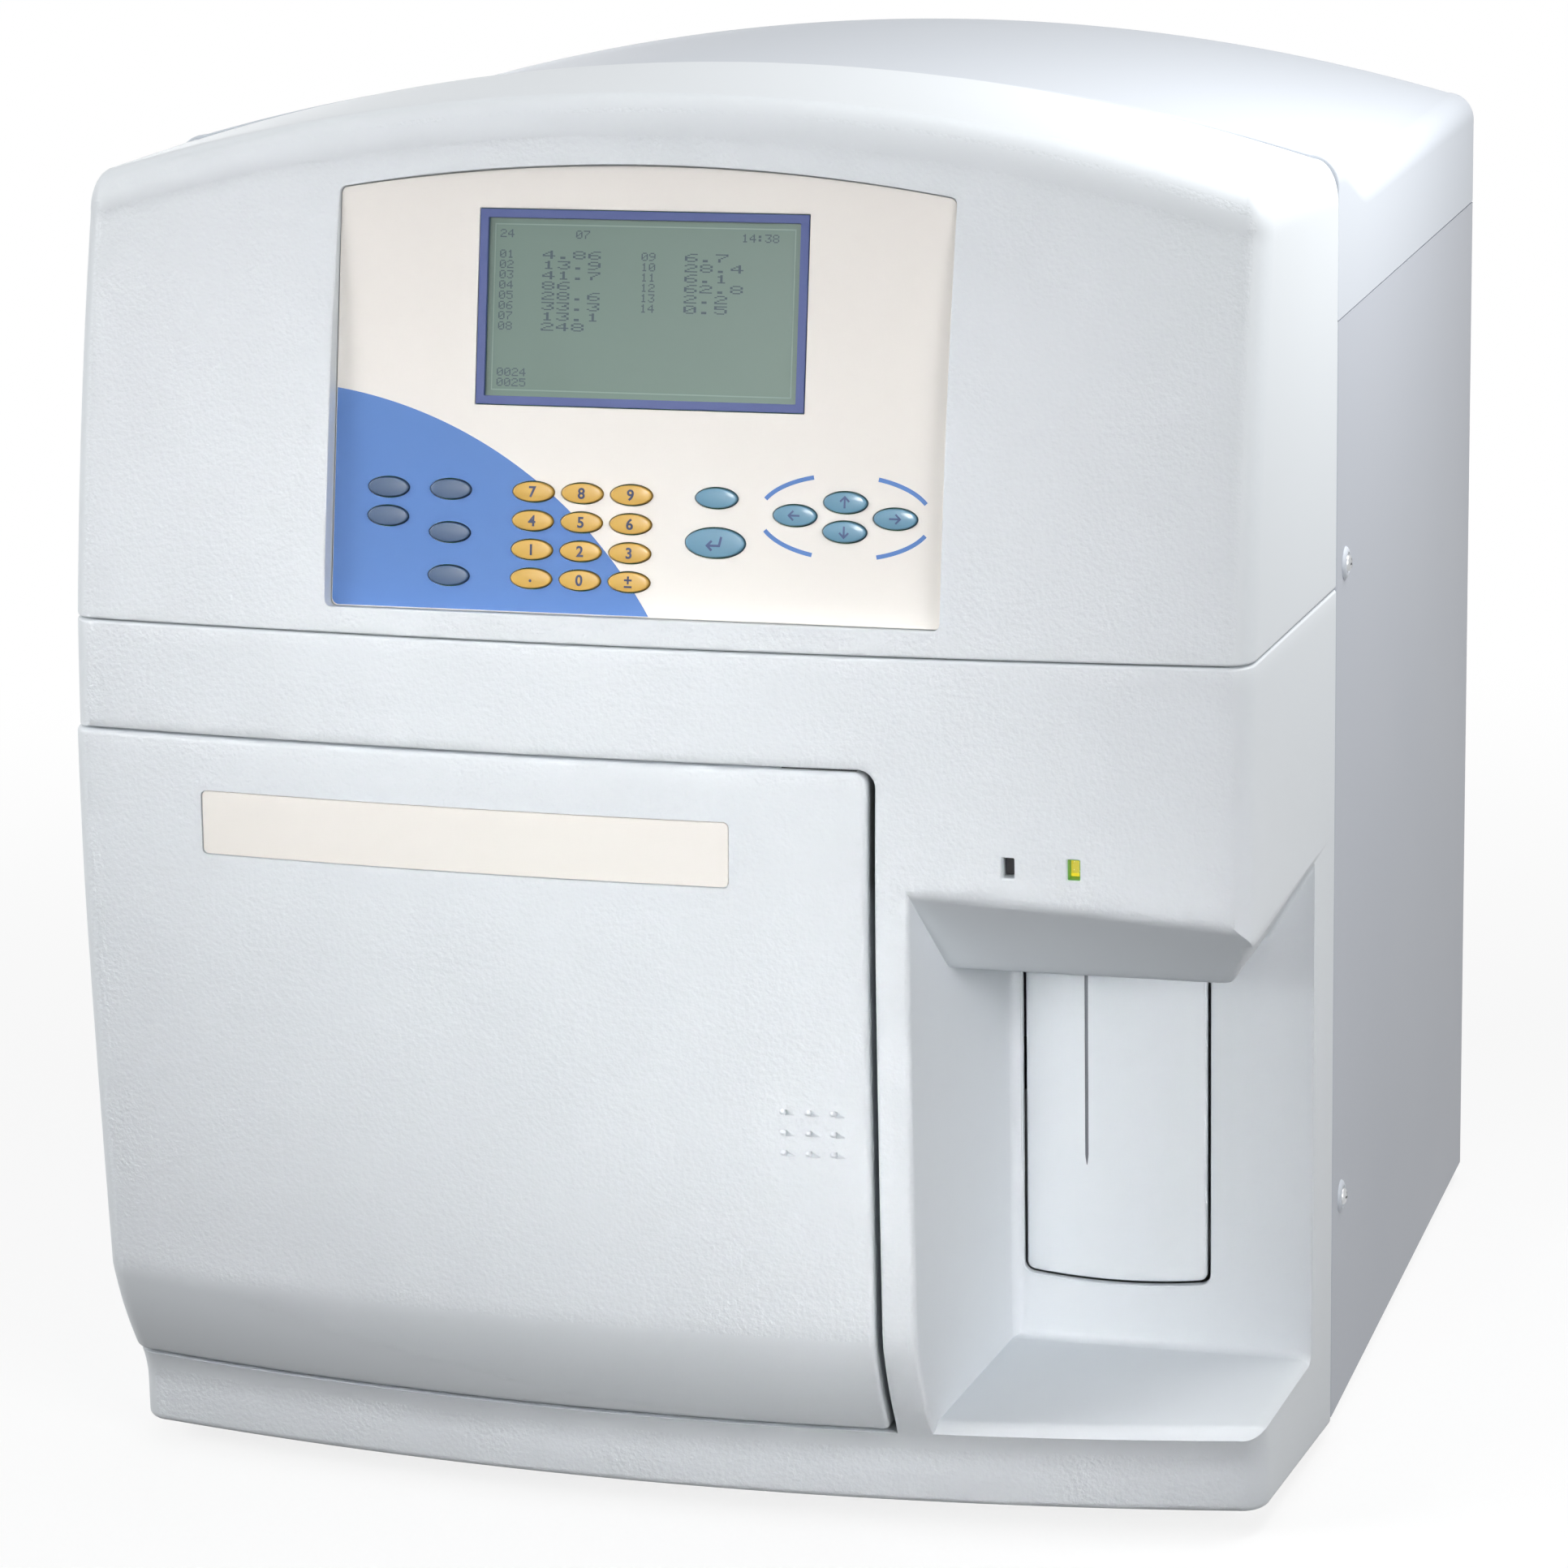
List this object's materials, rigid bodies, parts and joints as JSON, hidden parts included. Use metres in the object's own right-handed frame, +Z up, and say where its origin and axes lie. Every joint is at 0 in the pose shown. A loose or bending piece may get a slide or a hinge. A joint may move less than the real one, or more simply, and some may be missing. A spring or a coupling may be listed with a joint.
{
  "type": "hematology analyzer",
  "caption": "Bench-top blood cell counter: arched housing, tilted control panel with display and keys, hinged reagent door, and an open sampling bay with a needle and a start bar.",
  "frame": {"origin": "middle of the footprint, on the plane that the feet stand on", "axes": "+Z up, the front faces -Y, +X is to the right of someone facing the front"},
  "size_m": [0.444, 0.481, 0.516],
  "materials": {
    "cover_plastic": "fine spark texture",
    "hood_plastic": "satin",
    "painted_sheet": "satin powder coat",
    "bare_steel": "brushed",
    "cast_case": "dark anodised",
    "foot_rubber": "matte",
    "panel_beige": "fine matte film",
    "bezel_blue": "satin",
    "display_face": "clear gloss over a green-grey display",
    "number_key": "satin yellow",
    "function_key": "satin dark blue",
    "light_key": "satin light blue",
    "circuit_board": "green board",
    "black_plastic": "fine matte",
    "clear_plastic": "clear",
    "status_lens": "clear",
    "bottle_plastic": "milky"
  },
  "bodies": {
    "housing": {"upper_front_cover": "cover_plastic", "lower_front_cover": "cover_plastic", "rear_hood": "hood_plastic", "left_side_panel": "painted_sheet", "right_side_panel": "painted_sheet", "back_panel": "painted_sheet", "base_chassis": "bare_steel", "foot_front_left": "foot_rubber", "foot_front_right": "foot_rubber", "foot_rear_left": "foot_rubber", "foot_rear_right": "foot_rubber", "control_panel_plate": "panel_beige", "display_bezel": "bezel_blue", "display_glass": "display_face", "keypad_board": "circuit_board", "status_light_guide": "status_lens", "door_hinge_rod": "bare_steel", "needle_guide": "bare_steel", "mains_inlet": "black_plastic", "fan_frame": "black_plastic", "fluid_ports": "clear_plastic", "syringe_block": "clear_plastic", "dilution_chambers": "clear_plastic", "main_board": "circuit_board", "power_supply": "cast_case", "optical_bench": "cast_case", "lyse_bottle": "bottle_plastic", "stain_bottle": "bottle_plastic", "cleaner_bottle": "bottle_plastic"},
    "door": {"front_door": "cover_plastic", "door_label_plate": "panel_beige"},
    "start_bar_body": {"start_bar": "cover_plastic"},
    "needle_body": {"needle_holder": "black_plastic", "sampling_needle": "bare_steel"},
    "piston_body": {"syringe_pistons": "bare_steel"},
    "rocker_body": {"power_switch": "black_plastic"},
    "rotor_body": {"fan_rotor": "black_plastic"},
    "key_0": {"number_key_0": "number_key"},
    "key_1": {"number_key_1": "number_key"},
    "key_2": {"number_key_2": "number_key"},
    "key_3": {"number_key_3": "number_key"},
    "key_4": {"number_key_4": "number_key"},
    "key_5": {"number_key_5": "number_key"},
    "key_6": {"number_key_6": "number_key"},
    "key_7": {"number_key_7": "number_key"},
    "key_8": {"number_key_8": "number_key"},
    "key_9": {"number_key_9": "number_key"},
    "key_point": {"point_key": "number_key"},
    "key_sign": {"sign_key": "number_key"},
    "key_function_1": {"function_key_1": "function_key"},
    "key_function_2": {"function_key_2": "function_key"},
    "key_function_3": {"function_key_3": "function_key"},
    "key_function_4": {"function_key_4": "function_key"},
    "key_function_5": {"function_key_5": "function_key"},
    "key_escape": {"escape_key": "light_key"},
    "key_enter": {"enter_key": "light_key"},
    "key_left": {"arrow_left_key": "light_key"},
    "key_right": {"arrow_right_key": "light_key"},
    "key_up": {"arrow_up_key": "light_key"},
    "key_down": {"arrow_down_key": "light_key"}
  },
  "joints": [
    {"name": "door_hinge", "type": "hinge", "parent": "housing", "child": "door", "pos_m": [-0.209, -0.188, 0.1635], "axis": [0, 0, -1], "range_deg": [0, 105]},
    {"name": "start_bar_pivot", "type": "hinge", "parent": "housing", "child": "start_bar_body", "pos_m": [0.147, -0.11, 0.222], "axis": [1, 0, 0], "range_deg": [0, 2.2], "stiffness_Nm_per_rad": 2, "springref_deg": -1.15},
    {"name": "needle_slide", "type": "slide", "parent": "housing", "child": "needle_body", "axis": [0, 0, 1], "range_m": [0, 0.072]},
    {"name": "piston_slide", "type": "slide", "parent": "housing", "child": "piston_body", "axis": [0, 0, -1], "range_m": [0, 0.025]},
    {"name": "rocker_pivot", "type": "hinge", "parent": "housing", "child": "rocker_body", "pos_m": [-0.15, 0.2268, 0.085], "axis": [1, 0, 0], "range_deg": [0, 20]},
    {"name": "rotor_spin", "type": "hinge", "parent": "housing", "child": "rotor_body", "pos_m": [0.12, 0.215, 0.33], "axis": [0, 1, 0], "continuous": true},
    {"name": "press_0", "type": "slide", "parent": "housing", "child": "key_0", "axis": [0, 0.9833, -0.1819], "range_m": [0, 0.0008], "stiffness_N_per_m": 800, "springref_m": -0.0005},
    {"name": "press_1", "type": "slide", "parent": "housing", "child": "key_1", "axis": [0, 0.9833, -0.1819], "range_m": [0, 0.0008], "stiffness_N_per_m": 800, "springref_m": -0.0005},
    {"name": "press_2", "type": "slide", "parent": "housing", "child": "key_2", "axis": [0, 0.9833, -0.1819], "range_m": [0, 0.0008], "stiffness_N_per_m": 800, "springref_m": -0.0005},
    {"name": "press_3", "type": "slide", "parent": "housing", "child": "key_3", "axis": [0, 0.9833, -0.1819], "range_m": [0, 0.0008], "stiffness_N_per_m": 800, "springref_m": -0.0005},
    {"name": "press_4", "type": "slide", "parent": "housing", "child": "key_4", "axis": [0, 0.9833, -0.1819], "range_m": [0, 0.0008], "stiffness_N_per_m": 800, "springref_m": -0.0005},
    {"name": "press_5", "type": "slide", "parent": "housing", "child": "key_5", "axis": [0, 0.9833, -0.1819], "range_m": [0, 0.0008], "stiffness_N_per_m": 800, "springref_m": -0.0005},
    {"name": "press_6", "type": "slide", "parent": "housing", "child": "key_6", "axis": [0, 0.9833, -0.1819], "range_m": [0, 0.0008], "stiffness_N_per_m": 800, "springref_m": -0.0005},
    {"name": "press_7", "type": "slide", "parent": "housing", "child": "key_7", "axis": [0, 0.9833, -0.1819], "range_m": [0, 0.0008], "stiffness_N_per_m": 800, "springref_m": -0.0005},
    {"name": "press_8", "type": "slide", "parent": "housing", "child": "key_8", "axis": [0, 0.9833, -0.1819], "range_m": [0, 0.0008], "stiffness_N_per_m": 800, "springref_m": -0.0005},
    {"name": "press_9", "type": "slide", "parent": "housing", "child": "key_9", "axis": [0, 0.9833, -0.1819], "range_m": [0, 0.0008], "stiffness_N_per_m": 800, "springref_m": -0.0005},
    {"name": "press_point", "type": "slide", "parent": "housing", "child": "key_point", "axis": [0, 0.9833, -0.1819], "range_m": [0, 0.0008], "stiffness_N_per_m": 800, "springref_m": -0.0005},
    {"name": "press_sign", "type": "slide", "parent": "housing", "child": "key_sign", "axis": [0, 0.9833, -0.1819], "range_m": [0, 0.0008], "stiffness_N_per_m": 800, "springref_m": -0.0005},
    {"name": "press_function_1", "type": "slide", "parent": "housing", "child": "key_function_1", "axis": [0, 0.9833, -0.1819], "range_m": [0, 0.0008], "stiffness_N_per_m": 800, "springref_m": -0.0005},
    {"name": "press_function_2", "type": "slide", "parent": "housing", "child": "key_function_2", "axis": [0, 0.9833, -0.1819], "range_m": [0, 0.0008], "stiffness_N_per_m": 800, "springref_m": -0.0005},
    {"name": "press_function_3", "type": "slide", "parent": "housing", "child": "key_function_3", "axis": [0, 0.9833, -0.1819], "range_m": [0, 0.0008], "stiffness_N_per_m": 800, "springref_m": -0.0005},
    {"name": "press_function_4", "type": "slide", "parent": "housing", "child": "key_function_4", "axis": [0, 0.9833, -0.1819], "range_m": [0, 0.0008], "stiffness_N_per_m": 800, "springref_m": -0.0005},
    {"name": "press_function_5", "type": "slide", "parent": "housing", "child": "key_function_5", "axis": [0, 0.9833, -0.1819], "range_m": [0, 0.0008], "stiffness_N_per_m": 800, "springref_m": -0.0005},
    {"name": "press_escape", "type": "slide", "parent": "housing", "child": "key_escape", "axis": [0, 0.9833, -0.1819], "range_m": [0, 0.0008], "stiffness_N_per_m": 800, "springref_m": -0.0005},
    {"name": "press_enter", "type": "slide", "parent": "housing", "child": "key_enter", "axis": [0, 0.9833, -0.1819], "range_m": [0, 0.0008], "stiffness_N_per_m": 800, "springref_m": -0.0005},
    {"name": "press_left", "type": "slide", "parent": "housing", "child": "key_left", "axis": [0, 0.9833, -0.1819], "range_m": [0, 0.0008], "stiffness_N_per_m": 800, "springref_m": -0.0005},
    {"name": "press_right", "type": "slide", "parent": "housing", "child": "key_right", "axis": [0, 0.9833, -0.1819], "range_m": [0, 0.0008], "stiffness_N_per_m": 800, "springref_m": -0.0005},
    {"name": "press_up", "type": "slide", "parent": "housing", "child": "key_up", "axis": [0, 0.9833, -0.1819], "range_m": [0, 0.0008], "stiffness_N_per_m": 800, "springref_m": -0.0005},
    {"name": "press_down", "type": "slide", "parent": "housing", "child": "key_down", "axis": [0, 0.9833, -0.1819], "range_m": [0, 0.0008], "stiffness_N_per_m": 800, "springref_m": -0.0005}
  ]
}
